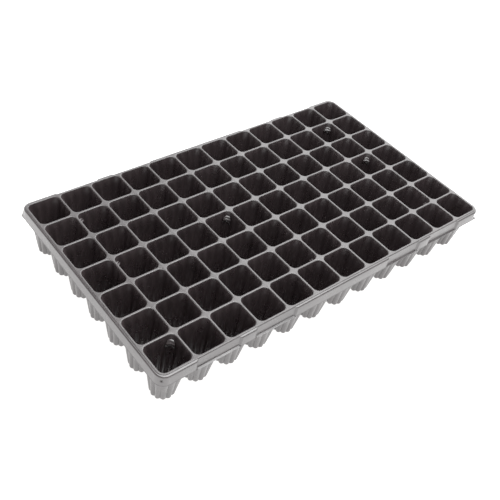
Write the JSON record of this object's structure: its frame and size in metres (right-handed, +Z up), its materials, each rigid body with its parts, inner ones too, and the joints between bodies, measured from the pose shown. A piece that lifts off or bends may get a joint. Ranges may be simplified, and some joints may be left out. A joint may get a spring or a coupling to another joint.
{
  "type": "plug tray",
  "caption": "Rectangular seedling tray of tapered fluted cells with drain holes, under a flat web with a stepped rim and a skirt with recessed bays.",
  "frame": {"origin": "under the middle of the tray, on the surface that the cells' feet stand on", "axes": "+Z up out of the cells' mouths, +X along the long side, +Y along the short side towards the back"},
  "size_m": [0.5236, 0.2958, 0.0635],
  "materials": {
    "cells": "satin black, recycled formed sheet",
    "rim": "satin black, recycled formed sheet",
    "lug": "satin black, recycled formed sheet"
  },
  "bodies": {
    "root": {"cell_column_01": "cells", "cell_column_02": "cells", "cell_column_03": "cells", "cell_column_04": "cells", "cell_column_05": "cells", "cell_column_06": "cells", "cell_column_07": "cells", "cell_column_08": "cells", "cell_column_09": "cells", "cell_column_10": "cells", "cell_column_11": "cells", "cell_column_12": "cells", "rim_front": "rim", "rim_back": "rim", "rim_left": "rim", "rim_right": "rim", "corner_front_left": "rim", "corner_front_right": "rim", "corner_back_left": "rim", "corner_back_right": "rim", "denesting_lugs": "lug"}
  },
  "joints": []
}
